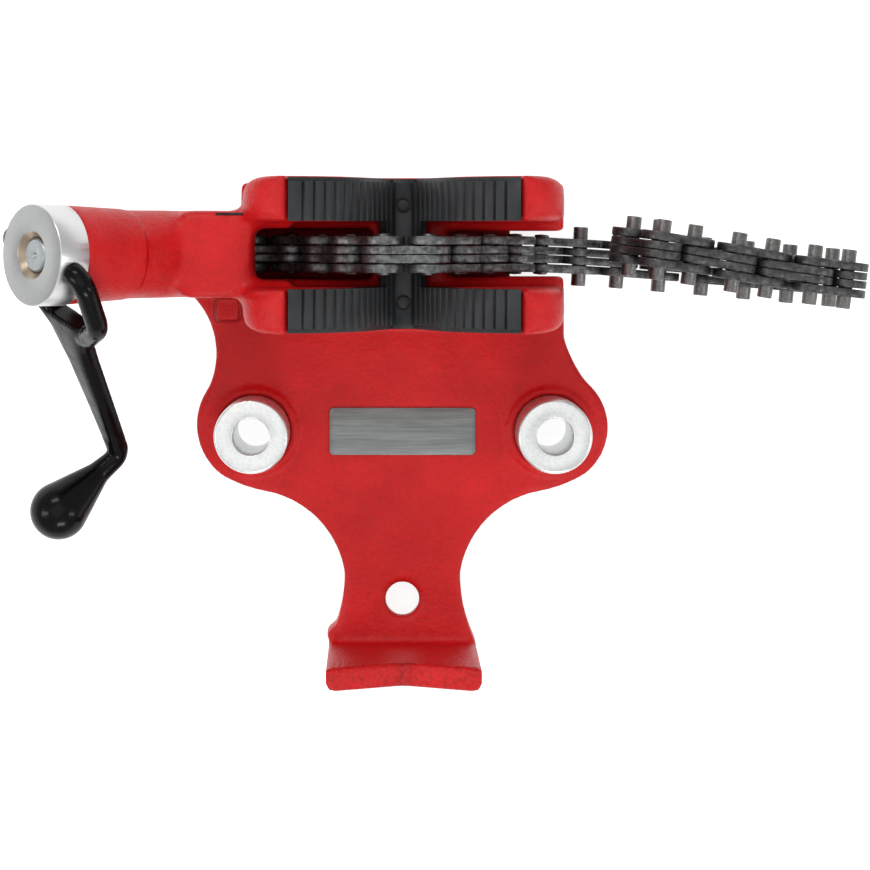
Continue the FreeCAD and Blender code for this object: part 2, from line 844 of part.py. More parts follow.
def chainNodes():
    """All links, with the wound stretches that lock each other fused."""
    pins = chainPins()
    left = pins["left"]
    entry = onAxis(firstPinDepth())
    eye = onAxis(eyeDepth())
    route = [eye, entry] + left[:0:-1] + pins["right"]
    leftLinks = len(route) - len(pins["right"])
    yaws = [0.0] * leftLinks + pins["yaws"]
    floorStart = leftLinks + len(rightSlopeAngles)
    foldStart = floorStart + len(coilFloorSlopeAngles)
    coreStart = foldStart + len(foldSlopeAngles)
    singles = list(range(floorStart)) + list(range(foldStart, coreStart))
    nodes = {}

    def link(number, holes=True):
        start, end = route[number], route[number + 1]
        if number % 2:
            return innerLink(start, end, yaws[number], holes)
        return outerLink(start, end, yaws[number], (pinHalf(number), pinHalf(number + 1)))

    for number in singles:
        nodes["chain_link_%02d" % (number + 1)] = link(number)
    for name, first, last in (
        ("coil_floor_links", floorStart, foldStart),
        ("coil_top_links", coreStart, len(route) - 1),
    ):
        nodes[name] = Part.makeCompound([link(number) for number in range(first, last)])
    return nodes


os.makedirs("parts", exist_ok=True)
nodes = castingNodes()
pieces = {
    "jaw": jaw(),
    "jaw_pins": jawPins(),
    "bolt_bushings": bushings(),
    "name_plate": namePlate(),
    "screw": screw(),
    "crank_nut": crankNut(),
    "crank_handle": handle(),
}
nodes.update(pieces)
nodes.update(chainNodes())
for name, shape in nodes.items():
    shape.exportStep("parts/%s.step" % name)
print("nodes", len(nodes))
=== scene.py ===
import json
import math

import bpy
import numpy as np
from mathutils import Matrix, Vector


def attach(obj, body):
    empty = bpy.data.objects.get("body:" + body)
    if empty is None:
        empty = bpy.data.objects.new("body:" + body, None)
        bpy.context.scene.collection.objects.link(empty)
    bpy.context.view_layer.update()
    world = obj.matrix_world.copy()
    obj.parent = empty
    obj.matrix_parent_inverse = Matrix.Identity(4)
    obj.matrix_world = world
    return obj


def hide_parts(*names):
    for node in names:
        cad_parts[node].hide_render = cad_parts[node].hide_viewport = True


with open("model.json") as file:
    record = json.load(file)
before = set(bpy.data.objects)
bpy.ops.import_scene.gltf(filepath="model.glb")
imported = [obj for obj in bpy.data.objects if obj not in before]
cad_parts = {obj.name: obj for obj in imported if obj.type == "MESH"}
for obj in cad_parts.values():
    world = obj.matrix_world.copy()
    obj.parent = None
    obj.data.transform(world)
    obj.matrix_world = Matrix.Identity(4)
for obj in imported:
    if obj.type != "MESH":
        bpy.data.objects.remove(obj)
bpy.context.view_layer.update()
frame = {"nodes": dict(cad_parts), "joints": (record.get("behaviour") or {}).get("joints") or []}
nodes = frame["nodes"]
scene = bpy.context.scene
mm = 0.001


# Colours and shader nodes


# A hex colour as the linear values that shaders take.
def linear(code):
    shares = [int(code[i : i + 2], 16) / 255 for i in (1, 3, 5)]
    return tuple(
        s / 12.92 if s <= 0.04045 else ((s + 0.055) / 1.055) ** 2.4 for s in shares
    ) + (1.0,)


# A shader node with its socket values and links; a link is (socket, output).
def add(tree, kind, links=(), **values):
    node = tree.nodes.new("ShaderNode" + kind)
    for name, value in values.items():
        if hasattr(node, name):
            setattr(node, name, value)
        else:
            node.inputs[name.replace("_", " ")].default_value = value
    for socket, output in links:
        tree.links.new(output, node.inputs[socket])
    return node


# An empty material with its output, its shader and its object coordinates.
def newMaterial(name):
    material = bpy.data.materials.new(name)
    material.use_nodes = True
    tree = material.node_tree
    tree.nodes.clear()
    output = add(tree, "OutputMaterial")
    shader = add(tree, "BsdfPrincipled")
    tree.links.new(shader.outputs[0], output.inputs[0])
    place = add(tree, "TexCoord").outputs["Object"]
    return material, tree, shader, place


# Noise at so many cells a metre, stretched along an axis where the finish has a grain.
def noise(tree, place, scale, detail=3.0, roughness=0.55, stretch=None):
    if stretch:
        place = add(tree, "Mapping", [("Vector", place)], Scale=stretch).outputs[0]
    node = add(tree, "TexNoise", [("Vector", place)], Scale=scale, Detail=detail)
    node.inputs["Roughness"].default_value = roughness
    return node.outputs["Fac"]


# A colour ramp between two places on a factor.
def ramp(tree, factor, low, high, fromColour, toColour):
    node = add(tree, "ValToRGB", [("Fac", factor)])
    node.color_ramp.elements[0].position = low
    node.color_ramp.elements[1].position = high
    node.color_ramp.elements[0].color = fromColour
    node.color_ramp.elements[1].color = toColour
    return node.outputs[0]


def grey(value):
    return (value, value, value, 1.0)


# Mixes two colours by a factor socket or number.
def mix(tree, factor, first, second):
    node = tree.nodes.new("ShaderNodeMix")
    node.data_type = "RGBA"
    for socket, value in ((0, factor), (6, first), (7, second)):
        if isinstance(value, (float, tuple)):
            node.inputs[socket].default_value = value
        else:
            tree.links.new(value, node.inputs[socket])
    return node.outputs[2]


# Bump of a depth in metres from a height of 0 to 1.
def bump(tree, height, depth, normal=None):
    node = add(tree, "Bump", [("Height", height)], Strength=1.0, Distance=depth)
    if normal:
        tree.links.new(normal, node.inputs["Normal"])
    return node.outputs[0]


# A value's place between two limits, from 0 to 1.
def span(tree, value, low, high):
    node = add(tree, "MapRange", [("Value", value)])
    node.inputs["From Min"].default_value = low
    node.inputs["From Max"].default_value = high
    return node.outputs[0]


# One sum on two values, each a socket or a number.
def math2(tree, operation, first, second):
    node = add(tree, "Math", operation=operation)
    for socket, value in enumerate((first, second)):
        if isinstance(value, (float, int)):
            node.inputs[socket].default_value = value
        else:
            tree.links.new(value, node.inputs[socket])
    return node.outputs[0]


# How far along a direction each point lies.
def alongLine(tree, place, direction):
    node = add(tree, "VectorMath", [(0, place)], operation="DOT_PRODUCT")
    node.inputs[1].default_value = direction
    return node.outputs["Value"]


# Distance from a line: the length of the cross product with its direction.
def fromLine(tree, place, centre, direction):
    offset = add(tree, "VectorMath", [(0, place)], operation="SUBTRACT")
    offset.inputs[1].default_value = centre
    cross = add(tree, "VectorMath", [(0, offset.outputs[0])], operation="CROSS_PRODUCT")
    cross.inputs[1].default_value = direction
    return add(tree, "VectorMath", [(0, cross.outputs[0])], operation="LENGTH").outputs["Value"]


# One within a box in plan and above a height, falling to nothing over a soft edge.
def boxMask(tree, place, low, high, above, edge):
    axes = add(tree, "SeparateXYZ", [("Vector", place)]).outputs
    mask = span(tree, axes["Z"], above - edge, above + edge)
    for axis, start, end in (("X", low[0], high[0]), ("Y", low[1], high[1])):
        mask = math2(tree, "MULTIPLY", mask, span(tree, axes[axis], start - edge, start + edge))
        mask = math2(tree, "MULTIPLY", mask, span(tree, axes[axis], end + edge, end - edge))
    return mask


paint = {
    "broad": 55.0, "grain": 560.0, "fine": 1700.0, "peel": 0.30 * mm, "swell": 1.0 * mm,
    "stepDepth": 44.8 * mm, "stepWidth": 0.5 * mm, "step": 0.5 * mm,
    # The slit box is painted shade: near-black where the horn's 1 mm slit is too narrow for the
    # voxel skin.
    "slitShade": ((-78.4 * mm, 16.2 * mm), (-66.8 * mm, 17.4 * mm)), "slitShadeLow": 60.0 * mm,
    "rest": ((-40.0 * mm, -190.0 * mm), (40.0 * mm, -171.0 * mm)), "restLow": 70.0 * mm,
    "pad": (-76.9 * mm, -24.8 * mm), "padHalf": (5.6 * mm, 5.3 * mm), "padRound": 2.4 * mm,
    "padGroove": (1.0 * mm, 0.4 * mm), "padDepth": 0.5 * mm, "padHigh": 30.0 * mm,
    "scab": ((-3.5 * mm, -190.0 * mm), (3.5 * mm, -171.0 * mm)), "pebble": 0.35 * mm,
}


# Groove along a rounded square in plan: one on the line, falling to nothing beside it; it drives
# the groove's bump and its painted shade.
def squareGroove(tree, place, look):
    axes = add(tree, "SeparateXYZ", [("Vector", place)]).outputs
    sides = []
    for axis, centre, half in zip("XY", look["pad"], look["padHalf"]):
        offset = math2(tree, "ABSOLUTE", math2(tree, "SUBTRACT", axes[axis], centre), 0.0)
        sides.append(math2(tree, "SUBTRACT", offset, half - look["padRound"]))
    outside = [math2(tree, "MAXIMUM", side, 0.0) for side in sides]
    squares = [math2(tree, "MULTIPLY", side, side) for side in outside]
    reach = math2(tree, "SQRT", math2(tree, "ADD", *squares), 0.0)
    inside = math2(tree, "MINIMUM", math2(tree, "MAXIMUM", *sides), 0.0)
    distance = math2(tree, "SUBTRACT", math2(tree, "ADD", reach, inside), look["padRound"])
    line = span(tree, math2(tree, "ABSOLUTE", distance, 0.0), *look["padGroove"])
    low = span(tree, axes["Z"], look["padHigh"], look["padHigh"] - mm)
    return math2(tree, "MULTIPLY", line, low)


# Red enamel over cast iron: the casting's grain shows as orange peel under a soft gloss.
# Painted shade darkens the pad's groove line and fills the horn's narrow slit with near-black.
def redPaint():
    material, tree, shader, place = newMaterial("red_enamel")
    look = paint
    spin = next(joint for joint in frame["joints"] if joint["name"] == "nut_spin")
    axis = Vector(spin["axis"]).normalized()
    face = Vector(spin["pos_m"]).dot(axis) + 7.0 * mm
    depth = alongLine(tree, place, axis)
    stepAt = face - look["stepDepth"]
    step = span(tree, depth, stepAt - look["stepWidth"], stepAt + look["stepWidth"])
    restTop = boxMask(tree, place, *look["rest"], look["restLow"], 2.0 * mm)
    cells = add(tree, "TexVoronoi", [("Vector", place)], Scale=520.0).outputs["Distance"]
    pebbles = math2(tree, "MULTIPLY", restTop, cells)
    broad = noise(tree, place, look["broad"])
    grain = noise(tree, place, look["grain"], 4.0, 0.6)
    fine = noise(tree, place, look["fine"], 2.0)
    colour = ramp(tree, broad, 0.3, 0.7, linear("#bb0f12"), linear("#c91619"))
    shade = ramp(tree, grain, 0.35, 0.6, linear("#9a0c0e"), linear("#ffffff"))
    pair = [("Color1", colour), ("Color2", shade)]
    tint = add(tree, "MixRGB", pair, blend_type="MULTIPLY", Fac=0.2)
    scab = boxMask(tree, place, *look["scab"], look["restLow"], 2.5 * mm)
    scab = math2(tree, "MULTIPLY", scab, span(tree, grain, 0.42, 0.52))
    markedTone = mix(tree, math2(tree, "MULTIPLY", scab, 0.55), tint.outputs[0], linear("#5e0a0a"))
    specks = math2(tree, "MULTIPLY", restTop, span(tree, cells, 0.55, 0.75))
    markedTone = mix(tree, math2(tree, "MULTIPLY", specks, 0.35), markedTone, linear("#7a0c0c"))
    # Painted shade: the colour darkens along the pad's groove line, where the groove's shade
    # falls.
    groove = squareGroove(tree, place, look)
    markedTone = mix(tree, math2(tree, "MULTIPLY", groove, 0.6), markedTone, linear("#700507"))
    # Painted shade: the horn's 1 mm slit, closed by the voxel skin, is coloured near-black.
    slitShade = boxMask(tree, place, *look["slitShade"], look["slitShadeLow"], 0.15 * mm)
    tree.links.new(mix(tree, slitShade, markedTone, linear("#120203")), shader.inputs["Base Color"])
    rough = ramp(tree, grain, 0.3, 0.7, grey(0.36), grey(0.52))
    tree.links.new(rough, shader.inputs["Roughness"])
    low = bump(tree, broad, look["swell"])
    low = bump(tree, step, look["step"], low)
    low = bump(tree, pebbles, look["pebble"], low)
    low = bump(tree, math2(tree, "SUBTRACT", 1.0, groove), look["padDepth"], low)
    middle = bump(tree, grain, look["peel"], low)
    tree.links.new(bump(tree, fine, 0.00005, middle), shader.inputs["Normal"])
    shader.inputs["Specular IOR Level"].default_value = 0.26
    return material


# Blackened forged steel, satin: slow changes from black to charcoal, with painted shade that
# darkens it to near-black in the grooves.
def blackSteel():
    material, tree, shader, place = newMaterial("blackened_steel")
    broad = noise(tree, place, 90.0)
    fine = noise(tree, place, 1500.0)
    colour = ramp(tree, broad, 0.3, 0.7, linear("#212224"), linear("#2b2d2f"))
    # Painted shade: ambient occlusion darkens the colour towards near-black in grooves and
    # crevices.
    creviceShade = add(tree, "AmbientOcclusion", Distance=2.0 * mm, samples=8, only_local=True)
    light = span(tree, creviceShade.outputs["AO"], 0.35, 0.95)
    colour = mix(tree, light, linear("#040404"), colour)
    tree.links.new(colour, shader.inputs["Base Color"])
    shader.inputs["Metallic"].default_value = 0.1
    shader.inputs["Specular IOR Level"].default_value = 0.35
    rough = ramp(tree, fine, 0.3, 0.7, grey(0.42), grey(0.56))
    tree.links.new(rough, shader.inputs["Roughness"])
    tree.links.new(bump(tree, fine, 0.00005), shader.inputs["Normal"])
    return material


# Thick gloss black enamel on the forged crank: deep black, with slow dips that bend the light.
def glossBlack():
    material, tree, shader, place = newMaterial("gloss_black_enamel")
    broad = noise(tree, place, 75.0, 2.0)
    shader.inputs["Base Color"].default_value = linear("#060607")
    rough = ramp(tree, broad, 0.3, 0.7, grey(0.2), grey(0.32))
    tree.links.new(rough, shader.inputs["Roughness"])
    tree.links.new(bump(tree, broad, 0.0008), shader.inputs["Normal"])
    shader.inputs["Specular IOR Level"].default_value = 0.06
    shader.inputs["Coat Weight"].default_value = 0.15
    shader.inputs["Coat Roughness"].default_value = 0.1
    return material


# Machined or plated steel with fine tool lines; the turn lays the pattern along the piece.
def brightSteel(name, dark, light, rough, stretch, depth=0.00001, turn=0.0, metal=1.0):
    material, tree, shader, place = newMaterial(name)
    if turn:
        place = add(tree, "Mapping", [("Vector", place)], Rotation=(0.0, turn, 0.0)).outputs[0]
    lines = noise(tree, place, 900.0, 3.0, 0.6, stretch)
    broad = noise(tree, place, 50.0)
    colour = ramp(tree, lines, 0.3, 0.7, linear(dark), linear(light))
    tree.links.new(colour, shader.inputs["Base Color"])
    shader.inputs["Metallic"].default_value = metal
    value = ramp(tree, broad, 0.3, 0.7, grey(rough * 0.85), grey(rough * 1.2))
    tree.links.new(value, shader.inputs["Roughness"])
    tree.links.new(bump(tree, lines, depth), shader.inputs["Normal"])
    return material


# Turned steel of the nut: grey face, a painted reflection that lightens the rim and side, and a
# brown tint in the cone round the screw.
def nutSteel():
    lean = math.radians(48)
    material = brightSteel("turned_steel", "#999a9a", "#9fa0a0", 0.34, (1, 1, 0.08), 0.00001, lean)
    tree = material.node_tree
    shader = tree.nodes["Principled BSDF"]
    place = next(node for node in tree.nodes if node.type == "TEX_COORD").outputs["Object"]
    spin = next(joint for joint in frame["joints"] if joint["name"] == "nut_spin")
    far = fromLine(tree, place, spin["pos_m"], spin["axis"])
    cone = span(tree, far, 10.1 * mm, 9.3 * mm)
    plain = shader.inputs["Base Color"].links[0].from_socket
    # Painted reflection: beyond 20.3 mm from the axis the colour turns lighter, standing in for
    # the floor's glow seen in the side.
    side = span(tree, far, 20.3 * mm, 20.65 * mm)
    plain = mix(tree, side, plain, linear("#c9c9ca"))
    colour = mix(tree, math2(tree, "MULTIPLY", cone, 0.8), plain, linear("#a08c74"))
    tree.links.new(colour, shader.inputs["Base Color"])
    return material


# Leaf chain plates: scuffed grey over the vise, blackened and oiled in the coil.
def chainSteel():
    material, tree, shader, place = newMaterial("chain_plate_steel")
    wear = add(tree, "Attribute", attribute_name="wear").outputs["Fac"]
    blotch = noise(tree, place, 420.0, 5.0, 0.7)
    scuff = noise(tree, place, 1600.0, 4.0, 0.7)
    dark = ramp(tree, blotch, 0.35, 0.68, linear("#363637"), linear("#5c5c5d"))
    markedTone = ramp(tree, blotch, 0.38, 0.62, linear("#444546"), linear("#787979"))
    colour = mix(tree, wear, dark, markedTone)
    tree.links.new(colour, shader.inputs["Base Color"])
    shader.inputs["Metallic"].default_value = 0.85
    rough = ramp(tree, scuff, 0.3, 0.7, grey(0.30), grey(0.52))
    tree.links.new(rough, shader.inputs["Roughness"])
    tree.links.new(bump(tree, scuff, 0.00006), shader.inputs["Normal"])
    return material


# Mesh helpers


# Rings of the same number of points joined into a closed skin.
def ringSkin(rings, capStart=True, capEnd=True):
    count = len(rings[0])
    faces = []
    for row in range(len(rings) - 1):
        for column in range(count):
            after = (column + 1) % count
            a, b = row * count + column, row * count + after
            faces.append((a, b, b + count, a + count))
    if capStart:
        faces.append(tuple(range(count - 1, -1, -1)))
    if capEnd:
        last = (len(rings) - 1) * count
        faces.append(tuple(range(last, last + count)))
    return np.concatenate(rings), faces


# A mesh object in the scene from points and faces.
def meshObject(name, points, faces, materials=()):
    mesh = bpy.data.meshes.new(name)
    mesh.from_pydata([tuple(p) for p in points], [], faces)
    for material in materials:
        mesh.materials.append(material)
    mesh.polygons.foreach_set("use_smooth", [True] * len(faces))
    mesh.update()
    thing = bpy.data.objects.new(name, mesh)
    scene.collection.objects.link(thing)
    return thing


# Points and faces of several solids as one mesh.
def joined(parts):
    vertices, faces = [], []
    for points, partFaces in parts:
        start = sum(len(v) for v in vertices)
        vertices.append(points)
        faces += [tuple(start + i for i in face) for face in partFaces]
    return np.concatenate(vertices), faces


# Points and faces of a CAD node.
def nodeParts(name):
    mesh = nodes[name].data
    points = np.empty(len(mesh.vertices) * 3)
    mesh.vertices.foreach_get("co", points)
    return points.reshape(-1, 3), [tuple(face.vertices) for face in mesh.polygons]


# One cast or forged skin: a voxel skin round all the solids, then each point drawn towards
# the mean of its neighbours, by a weight that says how round the edges are at its place.
def meltedObject(name, parts, voxel, rounds, weightAt, material, body, replaced):
    source = meshObject(name + "_source", *joined(parts))
    skin = source.modifiers.new("skin", "REMESH")
    skin.mode = "VOXEL"
    skin.voxel_size = voxel
    built = source.evaluated_get(bpy.context.evaluated_depsgraph_get())
    mesh = built.to_mesh()
    points = np.empty(len(mesh.vertices) * 3)
    mesh.vertices.foreach_get("co", points)
    points = points.reshape(-1, 3)
    edges = np.empty(len(mesh.edges) * 2, dtype=np.int32)
    mesh.edges.foreach_get("vertices", edges)
    first, second = edges.reshape(-1, 2).T
    faces = [tuple(face.vertices) for face in mesh.polygons]
    built.to_mesh_clear()
    bpy.data.objects.remove(source)
    count = len(points)
    degree = np.bincount(first, minlength=count) + np.bincount(second, minlength=count)
    for turn in range(rounds):
        weight = weightAt(points, turn)
        mean = np.empty_like(points)
        for axis in range(3):
            total = np.bincount(first, points[second, axis], count)
            total += np.bincount(second, points[first, axis], count)
            mean[:, axis] = total / np.maximum(degree, 1)
        points += (mean - points) * (0.5 * weight)[:, None]
    thing = meshObject(name, points, faces, [material])
    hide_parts(*replaced)
    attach(thing, body)
    print(name, len(faces), "faces")
    return thing


def smoothStep(value, low, high):
    share = np.clip((value - low) / (high - low), 0.0, 1.0)
    return share * share * (3.0 - 2.0 * share)


# One object from parts of (points, faces, material, wear), riding on a body.
def makeObject(name, parts, body, replaced=()):
    vertices, faces, indices, wears, materials = [], [], [], [], []
    for points, partFaces, material, wear in parts:
        start = sum(len(v) for v in vertices)
        vertices.append(points)
        faces += [tuple(start + i for i in face) for face in partFaces]
        if material not in materials:
            materials.append(material)
        indices += [materials.index(material)] * len(partFaces)
        wears += [wear] * len(points)
    mesh = bpy.data.meshes.new(name)
    mesh.from_pydata([tuple(p) for p in np.concatenate(vertices)], [], faces)
    for material in materials:
        mesh.materials.append(material)
    mesh.polygons.foreach_set("material_index", indices)
    mesh.polygons.foreach_set("use_smooth", [True] * len(faces))
    attribute = mesh.attributes.new("wear", "FLOAT", "POINT")
    attribute.data.foreach_set("value", wears)
    mesh.update()
    thing = bpy.data.objects.new(name, mesh)
    scene.collection.objects.link(thing)
    sharp = thing.modifiers.new("edges", "EDGE_SPLIT")
    sharp.split_angle = math.radians(38)
    if replaced:
        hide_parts(*replaced)
    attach(thing, body)
    return thing


def setMaterial(name, material):
    thing = nodes[name]
    thing.data.materials.clear()
    thing.data.materials.append(material)
    return thing


# Rounds a CAD node's sharp edges and smooths its round faces.
def bevelNode(thing, width, segments=2, angle=30):
    thing.data.polygons.foreach_set("use_smooth", [True] * len(thing.data.polygons))
    weld = thing.modifiers.new("weld", "WELD")
    weld.merge_threshold = 0.00001
    bevel = thing.modifiers.new("bevel", "BEVEL")
    bevel.width = width
    bevel.segments = segments
    bevel.limit_method = "ANGLE"
    bevel.angle_limit = math.radians(angle)
    bevel.harden_normals = True


# Casting


# The casting: all edges a little soft, the four horns' ends and the lip of the neck's flat top
# much rounder, the rest kept crisper, and the runner stub by it worn down to a trace.
casting = {
    "voxel": 1.35 * mm, "rounds": 26, "allRounds": 3,
    "hornX": (49.0, 56.0), "hornZ": (58.0, 74.0), "hornEnd": 74.0,
    "stub": (-32.2, -167.6), "stubReach": (3.0, 5.0), "restY": -171.0, "restShare": 0.4,
    "lipX": -94.5, "lipReach": 7.0, "lipZ": 40.0,
}


def makeCasting(material):
    def weightAt(points, turn):
        x, y, z = points.T / mm
        if turn < casting["allRounds"]:
            return np.where(y < casting["restY"], casting["restShare"], 1.0)
        horn = smoothStep(np.abs(x), *casting["hornX"]) * smoothStep(z, *casting["hornZ"])
        horn = horn * (np.abs(x) < casting["hornEnd"])
        lip = smoothStep(-np.abs(x - casting["lipX"]), -casting["lipReach"], 0.0)
        lip = lip * (z > casting["lipZ"])
        horn = np.maximum(horn, lip)
        stub = np.hypot(x - casting["stub"][0], y - casting["stub"][1])
        return np.maximum(horn, 1.0 - smoothStep(stub, *casting["stubReach"]))

    names = ["base_plate", "jaw_block", "screw_neck", "pipe_rest"]
    parts = [nodeParts(name) for name in names]
    rounds = casting["rounds"]
    voxel = casting["voxel"]
    meltedObject("casting_skin", parts, voxel, rounds, weightAt, material, "casting", names)


# Crank, on the pivot line and the screw axis that the joints give

crank = {
    "swing": 33.1, "lean": 12.0, "sides": 32, "voxel": 0.7 * mm, "rounds": 8,
    "pivotReach": 15.0, "pivotRadius": 4.0, "pivotOut": 22.0,
    "nearLeg": ((19.0, 0.0), (26.6, 0.5), (25.2, 27.0), (13.0, 37.5), (4.0, 40.0)),
    "nearBends": (7.0, 10.0, 10.0),
    "farLeg": ((-21.0, 0.0), (-26.6, 0.0), (-26.6, 20.0), (-4.2, 42.0), (-2.6, 58.0)),
    "farBends": (5.2, 9.0, 14.0), "legRadius": 4.6, "legEnd": 2.6,
    "stem": (
        (32.0, -1.0, 13.0, 4.4), (38.0, -1.2, 12.0, 4.7), (47.0, -1.0, 9.4, 4.7),
        (56.0, -0.2, 7.6, 4.5), (80.0, 0.8, 6.2, 4.1), (96.0, 1.1, 5.0, 4.0),
        (106.5, 1.0, 4.2, 4.0),
    ),
    "armRadius": 4.6, "armLength": 109.2, "armStart": 98.0, "elbowBend": 5.5, "armAcross": 1.0,
    "gripStart": 12.0, "gripStartRadius": 5.2, "gripLength": 35.5, "ballRadius": 12.4,
}


# Centre line through corners rounded by bends: place, heading and radius at each ring.
def bentLine(points, bends, radii, steps=9):
    rings = [(points[0], points[1] - points[0], radii[0])]
    for index, bend in enumerate(bends):
        corner = points[index + 1]
        before = (points[index] - corner).normalized()
        after = (points[index + 2] - corner).normalized()
        half = before.angle(after) / 2
        centre = corner + (before + after).normalized() * (bend / math.sin(half))
        start = corner + before * (bend / math.tan(half)) - centre
        end = corner + after * (bend / math.tan(half)) - centre
        turn = start.angle(end)
        for step in range(steps + 1):
            share = step / steps
            place = start * math.sin(turn * (1 - share)) + end * math.sin(turn * share)
            place = place / math.sin(turn)
            heading = (after * share - before * (1 - share)).normalized()
            rings.append((centre + place, heading, radii[index + 1]))
    rings.append((points[-1], points[-1] - points[-2], radii[-1]))
    return rings


# Round bar through rings whose centre line lies in one plane.
def barPart(rings, normal):
    turns = np.linspace(0, math.tau, crank["sides"], endpoint=False)
    loops = []
    for place, heading, radius in rings:
        side = np.array(heading.cross(normal).normalized())
        ring = np.outer(np.cos(turns), side) + np.outer(np.sin(turns), np.array(normal))
        loops.append(np.array(place) + ring * radius)
    return ringSkin(loops)


def makeCrank(material):
    joints = {joint["name"]: joint for joint in frame["joints"]}
    axisOut = Vector(joints["nut_spin"]["axis"]).normalized()
    middle = Vector(joints["handle_swing"]["pos_m"])
    pivot = -Vector(joints["handle_swing"]["axis"]).normalized()
    down = pivot.cross(axisOut)
    back = math.radians(crank["swing"])
    lean = back + math.radians(crank["lean"])
    arm = down * math.cos(back) - axisOut * math.sin(back)
    grip = axisOut * math.cos(lean) + down * math.sin(lean)
    c = crank

    def at(across, along, outward=0.0):
        return middle + (pivot * across + arm * along + grip * outward) * mm

    normal = pivot.cross(arm)
    parts = []
    for side, leg in ((-1, "far"), (1, "near")):
        stub = [(at(side * c["pivotReach"], 0), pivot * side, c["pivotRadius"] * mm)]
        stub.append((at(side * (c["pivotOut"] + 1), 0), pivot * side, c["pivotRadius"] * mm))
        parts.append(barPart(stub, arm))
        points = [at(*place) for place in c[leg + "Leg"]]
        bends = [bend * mm for bend in c[leg + "Bends"]]
        radii = [c["legRadius"] * mm] * 4 + [c["legEnd"] * mm]
        parts.append(barPart(bentLine(points, bends, radii), normal))
    # Web and stem: a rounded slab whose half widths across and through change along the arm.
    turns = np.linspace(0, math.tau, c["sides"], endpoint=False)
    wide = np.sign(np.cos(turns)) * np.sqrt(np.abs(np.cos(turns)))
    thick = np.sign(np.sin(turns)) * np.sqrt(np.abs(np.sin(turns)))
    loops = []
    for along, across, halfWide, halfThick in c["stem"]:
        ring = np.outer(wide * halfWide * mm, np.array(pivot))
        ring += np.outer(thick * halfThick * mm, np.array(normal))
        loops.append(np.array(at(across, along)) + ring)
    parts.append(ringSkin(loops))
    points = [at(c["armAcross"], c["armStart"]), at(c["armAcross"], c["armLength"])]
    points.append(at(0, c["armLength"], c["gripStart"]))
    radii = [c["armRadius"] * mm, c["armRadius"] * mm, c["gripStartRadius"] * mm]
    rings = bentLine(points, [c["elbowBend"] * mm], radii)
    ball = c["ballRadius"]
    reach = c["gripLength"] - c["gripStart"]
    slim = c["gripStartRadius"]
    slant = math.asin(ball / math.hypot(slim, reach)) - math.atan(slim / reach)
    for angle in np.linspace(-slant, math.radians(88), 16):
        place = at(0, c["armLength"], c["gripLength"] + ball * math.sin(angle))
        rings.append((place, grip, ball * math.cos(angle) * mm))
    parts.append(barPart(rings, pivot))

    def evenly(points, turn):
        return np.ones(len(points))

    name = "crank_handle"
    meltedObject("crank_skin", parts, c["voxel"], c["rounds"], evenly, material, name, [name])


# Chain, from the same pitch and slopes as the links' solids

chain = {
    "pitch": 19.05 * mm,
    "end": 9.0 * mm,
    "waist": 14.7 * mm,
    "plate": 3.6 * mm,
    "innerGap": 0.1 * mm,
    "layerGap": 0.42 * mm,
    "pin": 3.2 * mm,
    "shortPin": 8.6 * mm,
    "tallPin": 13.0 * mm,
    "edge": 0.45 * mm,
    "firstTall": 11,
    "bridge": Vector((-8.5 * mm, 0.0, 83.4 * mm)),
    "leftSlopes": (-44.0, -50.0, -44.5),
    "rightSlopes": (0.0, -46.0, -50.5, -49.0, -50.0, -23.0, -22.0),
    "floorSlopes": (-6.0, 0.0, 0.0, 0.0, 0.0),
    "foldSlopes": (79.0, 150.0),
    "topSlopes": (180.0, 148.0, 180.0, 142.0, 235.0, 312.5, -5.5),
    "foldYaws": (-6.0, -7.2),
    "topYaws": (-8.4, -9.6, -9.8, -8.6, -7.4, -6.6, -6.0),
    "straightLinks": 3,
    "yawStep": -1.0,
    "yawLimit": -4.9,
    "floorLinks": range(12, 17),
    "topStart": 19,
}


# Pin centres and the yaw of each link, from the screw's eye to the free end.
def chainRoute():

    def step(point, slope, yaw):
        run = chain["pitch"] * math.cos(math.radians(slope))
        rise = chain["pitch"] * math.sin(math.radians(slope))
        turn = math.radians(yaw)
        return point + Vector((run * math.cos(turn), run * math.sin(turn), rise))

    left = [chain["bridge"]]
    for slope in chain["leftSlopes"]:
        left.append(step(left[-1], 180.0 - slope, 0.0))
    joints = {j["name"]: j for j in frame["joints"]}
    first = [Vector(joints["link_hinge_%02d" % n]["pos_m"]) for n in (1, 2)]
    points = first + left[:0:-1] + [chain["bridge"]]
    yaws = [0.0] * 5
    flat = chain["rightSlopes"] + chain["floorSlopes"]
    slopes = flat + chain["foldSlopes"] + chain["topSlopes"]
    turns = []
    for number in range(len(flat)):
        late = max(0, number - chain["straightLinks"] + 1)
        turns.append(max(chain["yawLimit"], chain["yawStep"] * late))
    for slope, yaw in zip(slopes, turns + list(chain["foldYaws"] + chain["topYaws"])):
        yaws.append(yaw)
        points.append(step(points[-1], slope, yaw))
    return points, yaws


